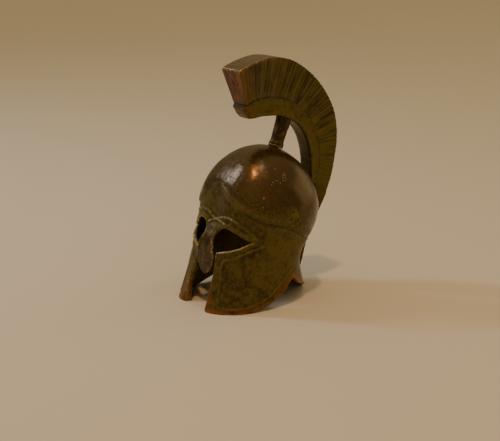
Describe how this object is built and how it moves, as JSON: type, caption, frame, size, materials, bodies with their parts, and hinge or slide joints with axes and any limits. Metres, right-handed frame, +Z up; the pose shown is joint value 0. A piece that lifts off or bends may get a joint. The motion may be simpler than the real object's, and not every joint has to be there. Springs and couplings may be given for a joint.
{
  "type": "corinthian helmet",
  "caption": "Miniature cast bronze Corinthian helmet with a pointed nose guard, long cheek guards and a curved hair crest carried on a leaning post.",
  "frame": {"origin": "under the middle of the bounding box, on the surface that the cheek guards and the neck guard stand on", "axes": "+Z up, -Y the way the face looks, +X the helmet's own left side"},
  "size_m": [0.0422, 0.0644, 0.091],
  "materials": {
    "shell_bronze": "dark brown patinated cast bronze, semi-gloss crown, copper-red wear on the rims",
    "post_bronze": "dark patinated cast bronze",
    "holder_bronze": "olive-brown patinated cast bronze, satin",
    "hair_bronze": "olive-brown patinated cast bronze with coppery worn ribs"
  },
  "bodies": {
    "root": {"helmet_shell": "shell_bronze", "crest_post": "post_bronze", "crest_holder": "holder_bronze", "crest_plume": "hair_bronze"}
  },
  "joints": []
}
